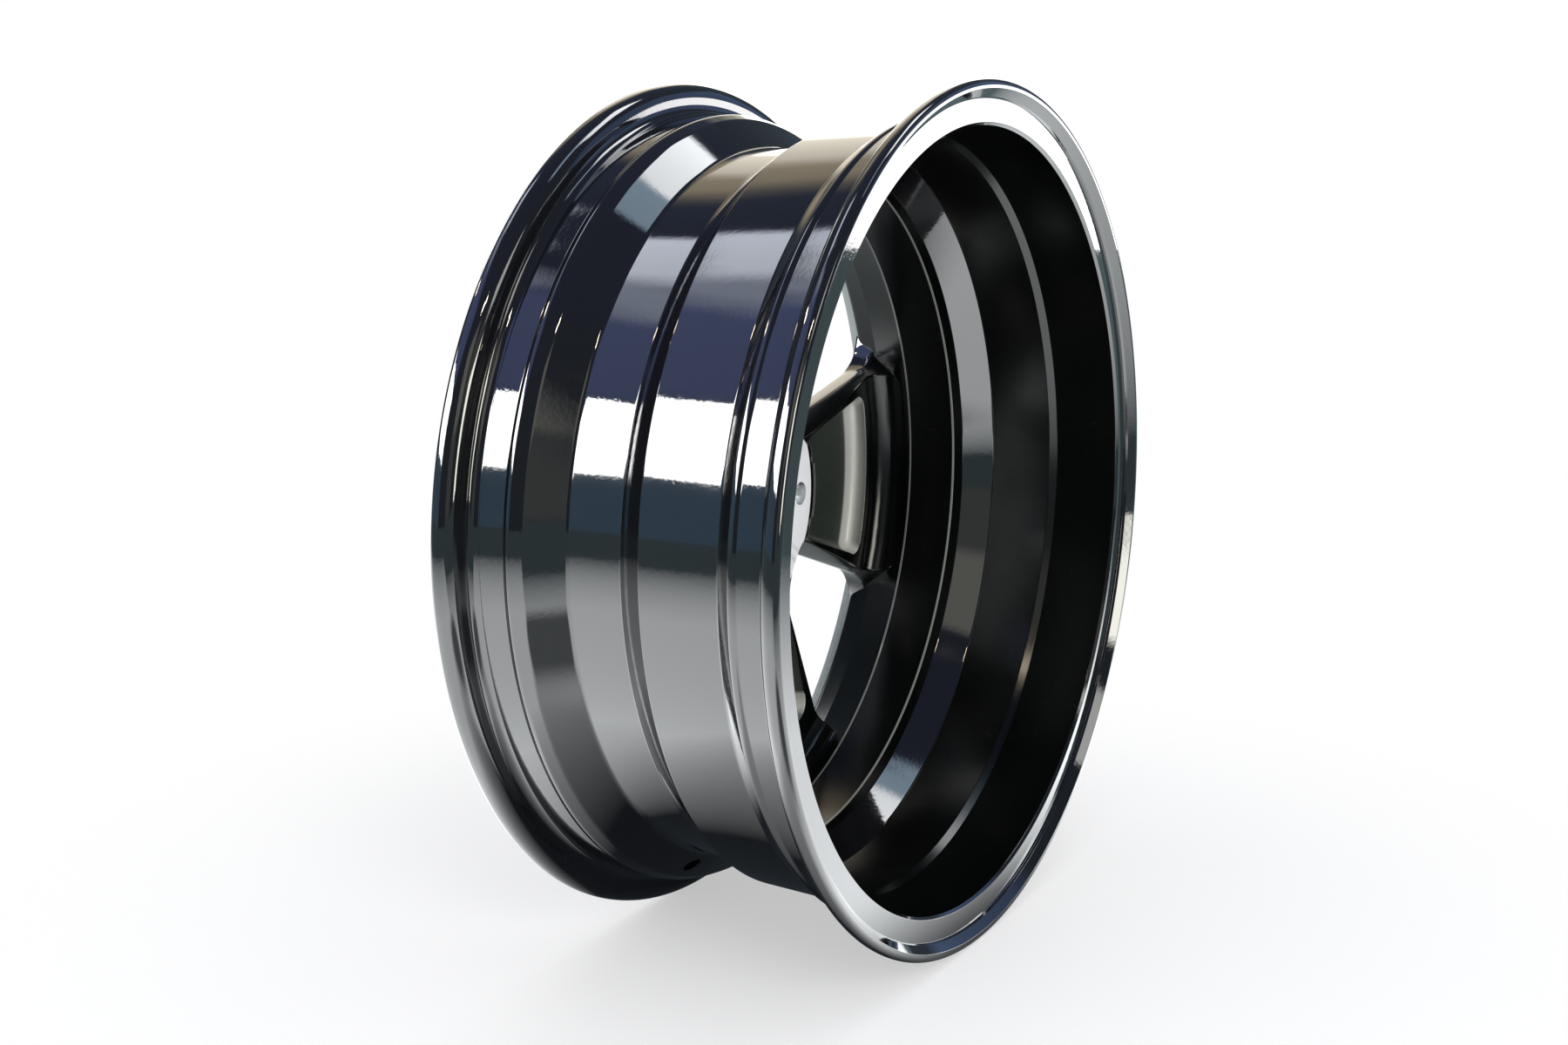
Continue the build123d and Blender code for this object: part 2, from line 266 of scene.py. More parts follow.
@dataclass
class Barrel:
    """The turned barrel: flanges, bead seats, humps, drop centre well and the inside wall, one closed section."""

    steps: int = 384
    hole_angle: float = math.radians(291.0)
    hole_radius: float = 219.15 * MM
    hole_station: float = -50.2 * MM
    hole_tilt: float = math.radians(45.0)
    hole_bore: float = 5.75 * MM
    hole_length: float = 34.0 * MM
    hole_sides: int = 48
    on_outline: float = 0.15 * MM
    lip_inner: float = 224.0 * MM
    lip_outer: float = 245.5 * MM
    neck_inner: float = 205.2 * MM
    neck_outer: float = 216.7 * MM
    neck_station: float = 1.6 * MM
    neck_half: float = 10.2 * MM
    land_back: float = -13.9 * MM
    land_front: float = -46.0 * MM
    edge_half: float = 0.9 * MM
    lip_station: float = -94.0 * MM
    throat_radius: float = 225.6 * MM
    throat_station: float = 94.9 * MM

    def section(self) -> Section:
        """The closed section, from the outer flange back along the outside, and forward again along the inside."""
        front_lip = [(236.5, -102.2, 2.0), (248.3, -102.2, 3.6), (248.3, -88.9, 9.0)]
        front_seat = [(231.0, -88.9, 6.0), (229.26, -69.0, 2.5), (230.56, -65.8, 4.5)]
        well = [(227.2, -58.4, 6.0), (211.1, -42.0, 4.0), (211.1, -9.2, 4.0)]
        ledge = [(221.2, 7.9, 2.0), (223.5, 55.2, 4.0)]
        back_seat = [(230.56, 65.8, 4.5), (229.26, 69.0, 2.5), (231.0, 88.9, 6.0)]
        back_lip = [(248.3, 88.9, 9.0), (248.3, 102.2, 3.6), (243.3, 102.2, 0.5)]
        ring = [(238.7, 98.2, 0.4), (238.1, 96.6, 0.3), (225.1, 96.6, 0.4), (223.5, 95.0, 0.4)]
        inside = [(220.1, 55.2, 1.0), (217.6, 50.7, 1.0), (216.5, 10.3, 2.5)]
        land = [(205.6, -7.4, 2.0), (204.1, -13.9, 1.0), (203.6, -46.0, 1.0)]
        front = [(214.0, -72.0), (222.5, -88.0, 14.0)]
        rows = front_lip + front_seat + well + ledge + back_seat + back_lip + ring + inside + land + front
        return Section([Corner(*row) for row in rows])

    def build(self, section: Section) -> Object:
        """Turns the section, bores the valve hole and sets the exact normals.

        Args:
            section: the barrel's section.

        Returns:
            The finished barrel, with its finishes chosen face by face.
        """
        barrel = lathe("rim_barrel", section, self.steps)
        self._bore_valve_hole(barrel)
        self._dress(barrel, section)
        return barrel

    def _bore_valve_hole(self, barrel: Object) -> None:
        """Cuts the valve hole, square to the front wall of the well."""
        out = math.cos(self.hole_tilt)
        axis = Vector((out * math.cos(self.hole_angle), math.sin(self.hole_tilt), out * math.sin(self.hole_angle)))
        middle = Vector((self.hole_radius * math.cos(self.hole_angle), self.hole_station,
                         self.hole_radius * math.sin(self.hole_angle)))
        bm = bmesh.new()
        turn = axis.to_track_quat("Z", "Y").to_matrix().to_4x4()
        turn.translation = middle
        bmesh.ops.create_cone(bm, cap_ends=True, segments=self.hole_sides, radius1=self.hole_bore,
                              radius2=self.hole_bore, depth=self.hole_length, matrix=turn)
        cutter_mesh = bpy.data.meshes.new("valve_cutter")
        bm.to_mesh(cutter_mesh)
        bm.free()
        cutter = bpy.data.objects.new("valve_cutter", cutter_mesh)
        bpy.context.scene.collection.objects.link(cutter)
        cut = barrel.modifiers.new("valve_hole", "BOOLEAN")
        cut.object = cutter
        cut.operation = "DIFFERENCE"
        cut.solver = "EXACT"
        apply_modifiers(barrel)
        bpy.data.objects.remove(cutter)

    def _dress(self, barrel: Object, section: Section) -> None:
        """Sets each corner's normal from the section, and each face's finish from its place.

        Args:
            barrel: the turned barrel.
            section: the section it was turned from.
        """
        arrays = MeshArrays(barrel.data)
        reach = distance_from_axle(arrays.centres)
        place = arrays.centres[:, 1]
        piece, gap = section.nearest(reach, place)
        corner = arrays.points[arrays.corner_point]
        corner_reach = distance_from_axle(corner)
        flat = section.normals(piece[arrays.corner_face], corner_reach, corner[:, 1])
        normal = np.stack([flat[:, 0] * corner[:, 0] / corner_reach, flat[:, 1],
                           flat[:, 0] * corner[:, 2] / corner_reach], axis=-1)
        normal[gap[arrays.corner_face] > self.on_outline] = 0.0
        barrel.data.normals_split_custom_set(normal)
        inward = (arrays.facing[:, 0] * arrays.centres[:, 0] + arrays.facing[:, 2] * arrays.centres[:, 2]) < 0.0
        satin = inward & (place < self.throat_station) & (place > self.lip_station) & (reach < self.throat_radius)
        neck = (reach > self.neck_inner) & (reach < self.neck_outer)
        neck &= np.abs(place - self.neck_station) < self.neck_half
        edge = (np.abs(place - self.land_back) < self.edge_half) | (np.abs(place - self.land_front) < self.edge_half)
        satin &= ~neck & ~edge
        turned = (place < self.lip_station) & (reach > self.lip_inner) & (reach < self.lip_outer)
        finish = np.where(turned, Finish.TURNED.value, np.where(satin, Finish.SATIN.value, Finish.GLOSS.value))
        barrel.data.polygons.foreach_set("material_index", finish.astype(np.int32))


@dataclass
class HubAndSpokes:
    """The cast hub with its five pocketed spokes, taken from the CAD solid and parted from the barrel's wall."""

    merge: float = 1e-6
    on_wall: float = 0.05 * MM
    near_wall: float = 0.2 * MM
    root_depth: float = 2.0 * MM
    sharp: float = math.radians(32.0)
    lean: float = math.radians(3.0)
    pad_station: float = -52.0 * MM
    pad_slack: float = 0.05 * MM
    pad_radius: float = 71.2 * MM
    bore_radius: float = 36.6 * MM
    bolt_circle: float = 57.15 * MM
    bolt_seat: float = 12.8 * MM
    seat_slack: float = 0.5 * MM
    flat_facing: float = 0.99
    spokes: int = 5
    first_spoke: float = math.radians(183.0)
    parting: float = -77.0 * MM
    ridge_station: float = -60.4 * MM
    ridge_start: float = 89.0 * MM
    ridge_fall: float = 9.6 / 103.0
    ridge_slack: float = 0.4 * MM
    pocket_angle: float = math.radians(20.5)
    pocket_inner: float = 83.0 * MM
    pocket_outer: float = 188.0 * MM
    pocket_front: float = -79.5 * MM

    def build(self, node: Object, section: Section) -> Object:
        """Makes the hub and spokes.

        Args:
            node: the CAD object of the whole wheel.
            section: the barrel's section.

        Returns:
            The finished hub with its spokes.
        """
        piece = bpy.data.objects.new("hub_and_spokes", node.data.copy())
        bpy.context.scene.collection.objects.link(piece)
        self._part_from_barrel(piece.data, section)
        self._smooth(piece)
        self._dress(piece.data)
        return piece

    def _part_from_barrel(self, mesh: Mesh, section: Section) -> None:
        """Drops the barrel's faces, then roots each spoke's open end in the barrel's wall and closes it.

        Args:
            mesh: the copied mesh.
            section: the barrel's section, which tells the barrel's faces.
        """
        bm = bmesh.new()
        bm.from_mesh(mesh)
        bmesh.ops.remove_doubles(bm, verts=bm.verts, dist=self.merge)
        bm.to_mesh(mesh)
        arrays = MeshArrays(mesh)
        _, point_gap = section.nearest(distance_from_axle(arrays.points), arrays.points[:, 1])
        _, face_gap = section.nearest(distance_from_axle(arrays.centres), arrays.centres[:, 1])
        off = np.zeros(len(arrays.centres))
        np.maximum.at(off, arrays.corner_face, point_gap[arrays.corner_point])
        on_barrel = (off < self.on_wall) & (face_gap < self.near_wall)
        bm.faces.ensure_lookup_table()
        bmesh.ops.delete(bm, geom=[bm.faces[i] for i in np.flatnonzero(on_barrel)], context="FACES")
        self._keep_largest(bm)
        rim = [edge for edge in bm.edges if edge.is_boundary]
        grown = bmesh.ops.extrude_edge_only(bm, edges=rim)["geom"]
        for vert in (item for item in grown if isinstance(item, bmesh.types.BMVert)):
            reach = math.hypot(vert.co.x, vert.co.z)
            scale = (reach + self.root_depth) / reach
            vert.co.x *= scale
            vert.co.z *= scale
        open_edges = [edge for edge in bm.edges if edge.is_boundary]
        bmesh.ops.holes_fill(bm, edges=open_edges, sides=0)
        bmesh.ops.triangulate(bm, faces=[face for face in bm.faces if len(face.verts) > 4])
        bmesh.ops.recalc_face_normals(bm, faces=bm.faces)
        left = sum(edge.is_boundary for edge in bm.edges)
        log.info("hub and spokes: %d faces, %d open edges", len(bm.faces), left)
        bm.to_mesh(mesh)
        bm.free()

    @staticmethod
    def _keep_largest(bm: bmesh.types.BMesh) -> None:
        """Keeps the largest connected part of the mesh and drops the rest, which are slivers of the barrel.

        Every point takes the lowest label of its neighbours until none changes, so each part ends with one label.
        """
        bm.verts.index_update()
        ends = np.array([[vert.index for vert in edge.verts] for edge in bm.edges])
        label = np.arange(len(bm.verts))
        changed = True
        while changed:
            low = label.copy()
            np.minimum.at(low, ends, label[ends[:, ::-1]])
            low = low[low]
            changed = bool((low != label).any())
            label = low
        largest = np.bincount(label).argmax()
        bmesh.ops.delete(bm, geom=[vert for vert in bm.verts if label[vert.index] != largest], context="VERTS")

    def _smooth(self, piece: Object) -> None:
        """Shades the faces smooth up to the sharp angle and squares the normals of turned faces up with the axle.

        A normal that leans round the axle by less than a few degrees is on a turned face, where the lean is
        only an error of the facets, so it is taken out.

        Args:
            piece: the object to shade.
        """
        piece.data.shade_smooth()
        piece.data.set_sharp_from_angle(angle=self.sharp)
        weigh = piece.modifiers.new("weighted_normals", "WEIGHTED_NORMAL")
        weigh.mode = "FACE_AREA"
        weigh.keep_sharp = True
        apply_modifiers(piece)
        arrays = MeshArrays(piece.data)
        normal = MeshArrays.read(piece.data.corner_normals, "vector", 3)
        corner = arrays.points[arrays.corner_point]
        reach = np.maximum(distance_from_axle(corner), TINY)
        round_axle = np.stack([-corner[:, 2] / reach, np.zeros(len(reach)), corner[:, 0] / reach], axis=-1)
        lean = (normal * round_axle).sum(axis=1)
        turned = np.abs(lean) < math.sin(self.lean)
        normal -= np.where(turned, lean, 0.0)[:, None] * round_axle
        normal /= np.linalg.norm(normal, axis=1, keepdims=True)
        piece.data.normals_split_custom_set(normal)

    def _dress(self, mesh: Mesh) -> None:
        """Chooses each face's finish: bare metal on the pad, bore and bolt seats, gloss in front, satin behind.

        Args:
            mesh: the mesh of the hub and spokes.
        """
        arrays = MeshArrays(mesh)
        centre = arrays.centres
        place = centre[:, 1]
        reach = distance_from_axle(centre)
        pad = (np.abs(place - self.pad_station) < self.pad_slack) & (reach < self.pad_radius)
        bore = reach < self.bore_radius
        spoke = self.first_spoke + np.arange(self.spokes) * (TURN / self.spokes)
        gap = np.hypot(centre[:, 0, None] - self.bolt_circle * np.cos(spoke),
                       centre[:, 2, None] - self.bolt_circle * np.sin(spoke)).min(axis=1)
        aslant = np.abs(arrays.facing[:, 1]) < self.flat_facing
        seat = (gap < self.bolt_seat) & (place < self.pad_station + self.seat_slack) & aslant
        finish = np.where(bore | seat, Finish.TURNED.value, np.where(pad, Finish.FACED.value, Finish.GLOSS.value))
        finish = np.where((finish == Finish.GLOSS.value) & (place > self.parting), Finish.SATIN.value, finish)
        angle = np.arctan2(centre[:, 2], centre[:, 0])[:, None]
        off = np.abs((angle - spoke + math.pi) % TURN - math.pi).min(axis=1)
        ridge = self.ridge_station - (reach - self.ridge_start) * self.ridge_fall
        pocket = (off < self.pocket_angle) & (reach > self.pocket_inner) & (reach < self.pocket_outer)
        pocket &= (place < ridge - self.ridge_slack) & (place > self.pocket_front)
        finish = np.where(pocket, Finish.POCKET.value, finish)
        mesh.polygons.foreach_set("material_index", finish.astype(np.int32))


def apply_modifiers(piece: Object) -> None:
    """Replaces a piece's mesh with the result of its modifiers, and clears them."""
    graph = bpy.context.evaluated_depsgraph_get()
    result = bpy.data.meshes.new_from_object(piece.evaluated_get(graph))
    piece.modifiers.clear()
    piece.data = result


class NodeBench:
    """Adds and links nodes in one node tree."""

    def __init__(self, tree: NodeTree) -> None:
        """Takes the tree to work in."""
        self.tree = tree

    def add(self, kind: str, **settings: object) -> Node:
        """Adds a node and sets its properties.

        Args:
            kind: Blender's name of the node type.
            settings: properties of the node.

        Returns:
            The node.
        """
        node = self.tree.nodes.new(kind)
        for name, value in settings.items():
            setattr(node, name, value)
        return node

    def link(self, out: NodeSocket, into: NodeSocket) -> None:
        """Links one socket to another."""
        self.tree.links.new(out, into)

    def feed(self, socket: NodeSocket, value: object) -> None:
        """Links a socket to another one, or sets its value."""
        if isinstance(value, NodeSocket):
            self.link(value, socket)
        else:
            socket.default_value = value

    def math(self, operation: str, *values: object, clamp: bool = False) -> NodeSocket:
        """Adds a Math node.

        Args:
            operation: its operation.
            values: sockets or numbers for its inputs.
            clamp: whether the result is held between 0 and 1.

        Returns:
            Its result.
        """
        node = self.add("ShaderNodeMath", operation=operation, use_clamp=clamp)
        return self.feed_in_turn(node, values).outputs[0]

    def vector(self, operation: str, *values: object) -> Node:
        """Adds a Vector Math node, with sockets or vectors for its inputs."""
        return self.feed_in_turn(self.add("ShaderNodeVectorMath", operation=operation), values)

    def place(self) -> NodeSocket:
        """Adds the place on the object, in metres."""
        return self.add("ShaderNodeTexCoord").outputs["Object"]

    def split(self, vector: NodeSocket) -> bpy.types.bpy_prop_collection:
        """Splits a vector into its three parts."""
        node = self.add("ShaderNodeSeparateXYZ")
        self.link(vector, node.inputs[0])
        return node.outputs

    def feed_in_turn(self, node: Node, values: tuple) -> Node:
        """Feeds a node's first inputs and returns the node."""
        for socket, value in zip(node.inputs, values):
            self.feed(socket, value)
        return node

    def feed_all(self, node: Node, values: dict[str, object]) -> Node:
        """Feeds a node's inputs by their names and returns the node."""
        for title, value in values.items():
            self.feed(node.inputs[title], value)
        return node

    def group(self, tree: NodeTree, values: dict[str, object]) -> Node:
        """Adds a node group and feeds its inputs."""
        return self.feed_all(self.add("ShaderNodeGroup", node_tree=tree), values)

    def noise(self, vector: NodeSocket, scale: object, detail: float) -> Node:
        """Adds a noise texture."""
        return self.feed_all(self.add("ShaderNodeTexNoise"), {"Vector": vector, "Scale": scale, "Detail": detail})

    def ramp(self, value: object, low: object, high: object, to_low: float = 0.0, to_high: float = 1.0,
             smooth: bool = True) -> NodeSocket:
        """Maps a range of values to another, held at its ends."""
        node = self.add("ShaderNodeMapRange", interpolation_type="SMOOTHSTEP" if smooth else "LINEAR")
        ends = {"From Min": low, "From Max": high, "To Min": to_low, "To Max": to_high}
        return self.feed_all(node, {"Value": value} | ends).outputs[0]


def new_group(name: str, inputs: dict[str, tuple[str, object]], outputs: dict[str, str]) -> tuple:
    """Starts a shader node group.

    Args:
        name: name of the group.
        inputs: socket type and first value of each input.
        outputs: socket type of each output.

    Returns:
        The group, its bench, and its input and output nodes.
    """
    group = bpy.data.node_groups.new(name, "ShaderNodeTree")
    for title, (kind, value) in inputs.items():
        socket = group.interface.new_socket(title, in_out="INPUT", socket_type=kind)
        socket.default_value = value
    for title, kind in outputs.items():
        group.interface.new_socket(title, in_out="OUTPUT", socket_type=kind)
    bench = NodeBench(group)
    return group, bench, bench.add("NodeGroupInput"), bench.add("NodeGroupOutput")


def skin_group() -> NodeTree:
    """Builds the group for the skin of a coat of paint: a fine texture over long soft waves.

    Returns:
        The group. Height is the surface's height and Speck marks small grains of dust.
    """
    group, bench, given, out = new_group(
        "paint_skin",
        {"Cells": (NUMBER, 900.0), "Waves": (NUMBER, 60.0), "Wave share": (NUMBER, 0.5), "Dust": (NUMBER, 0.5)},
        {"Height": NUMBER, "Speck": NUMBER, "Cloud": NUMBER})
    place = bench.place()
    cells = bench.noise(place, given.outputs["Cells"], 1.0)
    waves = bench.noise(place, given.outputs["Waves"], 2.0)
    lifted = bench.math("MULTIPLY", waves.outputs[0], given.outputs["Wave share"])
    bench.link(bench.math("ADD", cells.outputs[0], lifted), out.inputs["Height"])
    grains = bench.feed_all(bench.add("ShaderNodeTexVoronoi"), {"Vector": place, "Scale": 420.0})
    rare = bench.math("GREATER_THAN", grains.outputs["Color"], bench.math("SUBTRACT", 1.0, given.outputs["Dust"]))
    near = bench.ramp(grains.outputs["Distance"], 0.10, 0.22, 1.0, 0.0)
    bench.link(bench.math("MULTIPLY", rare, near), out.inputs["Speck"])
    bench.link(bench.ramp(bench.noise(place, 14.0, 4.0).outputs[0], 0.35, 0.7), out.inputs["Cloud"])
    return group


def turning_group() -> NodeTree:
    """Builds the group for the fine rings that a lathe tool leaves: noise that depends on the distance from the axle.

    Returns:
        The group. Rings runs from 0 to 1 and Height is the rings as a height.
    """
    results = {"Rings": NUMBER, "Height": NUMBER}
    group, bench, given, out = new_group("turning_rings", {"Pitch": (NUMBER, 0.0004)}, results)
    across, station, up = bench.split(bench.place())
    square = bench.math("ADD", bench.math("MULTIPLY", across, across), bench.math("MULTIPLY", up, up))
    along = bench.math("ADD", bench.math("SQRT", square), station)
    steps = bench.math("DIVIDE", along, given.outputs["Pitch"])
    fine = bench.add("ShaderNodeTexNoise", noise_dimensions="1D")
    bench.feed_all(fine, {"W": steps, "Scale": 1.0, "Detail": 3.0})
    bench.link(bench.ramp(fine.outputs[0], 0.3, 0.7), out.inputs["Rings"])
    bench.link(fine.outputs[0], out.inputs["Height"])
    return group


@dataclass(frozen=True)
class Paint:
    """A coat of paint: a colour with grains of dust, a cloudy roughness and a fine skin."""

    name: str
    colour: tuple
    dust_and_highlight_colour: tuple
    roughness: tuple
    ior: float
    grain: float
    cells: float
    waves: float
    wave_share: float
    dust: float

    def material(self, skin: NodeTree) -> Material:
        """Makes the material.

        Args:
            skin: the shared paint skin group.

        Returns:
            The material.
        """
        material, bench, shader = new_material(self.name)
        group = bench.group(skin, {"Cells": self.cells, "Waves": self.waves, "Wave share": self.wave_share,
                                   "Dust": self.dust})
        bench.feed_all(shader, {"Base Color": self.base_colour(bench, group.outputs["Speck"]),
                                "Roughness": bench.ramp(group.outputs["Cloud"], 0.0, 1.0, *self.roughness),
                                "Normal": bumped(bench, group.outputs["Height"], self.grain), "IOR": self.ior})
        return material

    def base_colour(self, bench: NodeBench, speck: NodeSocket) -> NodeSocket:
        """Mixes the paint's colour with its dust by the mask of the grains."""
        return mix_colour(bench, speck, self.colour, self.dust_and_highlight_colour)


@dataclass(frozen=True)
class GlossPaint(Paint):
    """Gloss black lacquer with a faint orange peel, faint clouds of handling marks and a few grains of dust."""

    name: str = "gloss_black_lacquer"
    colour: tuple = (0.005, 0.005, 0.006, 1.0)
    dust_and_highlight_colour: tuple = (0.16, 0.16, 0.17, 1.0)
    roughness: tuple = (0.035, 0.07)
    ior: float = 1.62
    grain: float = 0.00002
    cells: float = 420.0
    waves: float = 45.0
    wave_share: float = 2.0
    dust: float = 0.03
    coat_ior: float = 1.5
    coat_roughness: float = 0.02

    def material(self, skin: NodeTree) -> Material:
        """Makes the paint's material and lays a clear coat over it."""
        material = super().material(skin)
        coat = {"Coat Weight": 1.0, "Coat IOR": self.coat_ior, "Coat Roughness": self.coat_roughness}
        NodeBench(material.node_tree).feed_all(material.node_tree.nodes["Principled BSDF"], coat)
        return material


@dataclass(frozen=True)
class SatinPaint(Paint):
    """Satin black where less lacquer lands: a fine grain and a little grey dust, with a pale band and pale lines
    painted on as highlights.

    Attributes:
        ring: inner and outer radius of a pale band painted on as a highlight.
        highlight_lines: places along the axle of thin pale lines painted on turned corners as highlights.
    """

    name: str = "satin_black_inside"
    colour: tuple = (0.0012, 0.0016, 0.0014, 1.0)
    dust_and_highlight_colour: tuple = (0.02, 0.021, 0.02, 1.0)
    roughness: tuple = (0.17, 0.19)
    ior: float = 1.45
    grain: float = 0.000012
    cells: float = 1500.0
    waves: float = 160.0
    wave_share: float = 0.8
    dust: float = 0.12
    ring: tuple = (0.0, 0.0)
    soft: float = 4.0 * MM
    highlight_lines: tuple = ()
    highlight_line_half: float = 0.9 * MM
    highlight_line_colour: tuple = (0.30, 0.31, 0.28, 1.0)

    def base_colour(self, bench: NodeBench, speck: NodeSocket) -> NodeSocket:
        """Mixes the paint's colour with its dust, with the painted highlight band in the ring, and with the painted
        highlight lines.
        """
        # The dust specks and the painted highlight band in the ring share the dust and highlight colour.
        dust = bench.math("MAXIMUM", speck, self._highlight_ring_mask(bench))
        with_dust_and_highlight = mix_colour(bench, dust, self.colour, self.dust_and_highlight_colour)
        # Painted highlight lines on the turned corners of the inside wall.
        return mix_colour(bench, self._highlight_line_mask(bench), with_dust_and_highlight, self.highlight_line_colour)

    def _highlight_line_mask(self, bench: NodeBench) -> NodeSocket:
        """Masks the painted highlight lines, which run round the axle."""
        station = bench.split(bench.place())[1]
        mask = bench.math("MULTIPLY", station, 0.0)
        for line in self.highlight_lines:
            gap = bench.math("ABSOLUTE", bench.math("SUBTRACT", station, line))
            mask = bench.math("MAXIMUM", mask, bench.ramp(gap, self.highlight_line_half * 0.5, self.highlight_line_half, 1.0, 0.0))
        return mask

    def _highlight_ring_mask(self, bench: NodeBench) -> NodeSocket:
        """Masks the band of radii that is painted pale as a highlight."""
        inner, outer = self.ring
        across = bench.vector("MULTIPLY", bench.place(), (1.0, 0.0, 1.0)).outputs[0]
        reach = bench.vector("LENGTH", across).outputs["Value"]
        return bench.math("MULTIPLY", bench.ramp(reach, inner, inner + self.soft),
                          bench.ramp(reach, outer, outer + self.soft, 1.0, 0.0))


@dataclass(frozen=True)
class TurnedMetal:
    """Bare aluminium turned on a lathe: bright, with the fine rings of the tool."""

    name: str = "turned_aluminium"
    dark: tuple = (0.62, 0.63, 0.64, 1.0)
    light: tuple = (0.86, 0.87, 0.88, 1.0)
    roughness: tuple = (0.16, 0.34)
    rings: float = 0.00001
    metal: float = 1.0

    def material(self, turning: NodeTree) -> Material:
        """Makes the material.

        Args:
            turning: the shared turning rings group.

        Returns:
            The material.
        """
        material, bench, shader = new_material(self.name)
        group = bench.group(turning, {})
        rings = group.outputs["Rings"]
        bench.feed_all(shader, {"Base Color": mix_colour(bench, rings, self.dark, self.light),
                                "Roughness": bench.ramp(rings, 0.0, 1.0, *self.roughness),
                                "Normal": bumped(bench, group.outputs["Height"], self.rings), "Metallic": self.metal})
        return material


def new_material(name: str) -> tuple:
    """Starts a material with one Principled shader.

    Args:
        name: name of the material.

    Returns:
        The material, its bench and the shader.
    """
    material = bpy.data.materials.new(name)
    material.use_nodes = True
    bench = NodeBench(material.node_tree)
    return material, bench, material.node_tree.nodes["Principled BSDF"]


def mix_colour(bench: NodeBench, share: object, first: object, second: object) -> NodeSocket:
    """Mixes two colours by a mask, each a socket or a value, and returns the result."""
    mix = bench.add("ShaderNodeMix", data_type="RGBA")
    for socket, value in ((0, share), (6, first), (7, second)):
        bench.feed(mix.inputs[socket], value)
    return mix.outputs[2]


def bumped(bench: NodeBench, height: NodeSocket, distance: float) -> NodeSocket:
    """Adds a bump of the given height in metres and returns its normal."""
    bump = bench.feed_all(bench.add("ShaderNodeBump"), {"Strength": 1.0, "Distance": distance, "Height": height})
    return bump.outputs["Normal"]


@dataclass(frozen=True)
class Panel:
    """A light panel far away, seen in reflections only.

    Attributes:
        azimuth: direction of its middle, in degrees from +X towards +Y.
        elevation: height of its middle above the horizon, in degrees.
        width: half its width, in degrees.
        height: half its height, in degrees.
        soft: width of its soft edge, in degrees.
        colour: its colour.
        strength: its brightness, where 1 is white.
    """

    azimuth: float
    elevation: float
    width: float
    height: float
    soft: float
    colour: tuple
    strength: float


@dataclass(frozen=True)
class Lamp:
    """A soft square lamp that glossy rays don't see, with its side in metres and its power in watts."""

    name: str
    place: tuple
    target: tuple
    size: float
    power: float

    def hang(self) -> None:
        """Puts the lamp in the scene."""
        data = bpy.data.lights.new(self.name, "AREA")
        data.shape = "SQUARE"
        data.size = self.size
        data.energy = self.power
        lamp = bpy.data.objects.new(self.name, data)
        lamp.location = self.place
        lamp.rotation_euler = (Vector(self.target) - Vector(self.place)).to_track_quat("-Z", "Y").to_euler()
        lamp.visible_glossy = False
        bpy.context.scene.collection.objects.link(lamp)


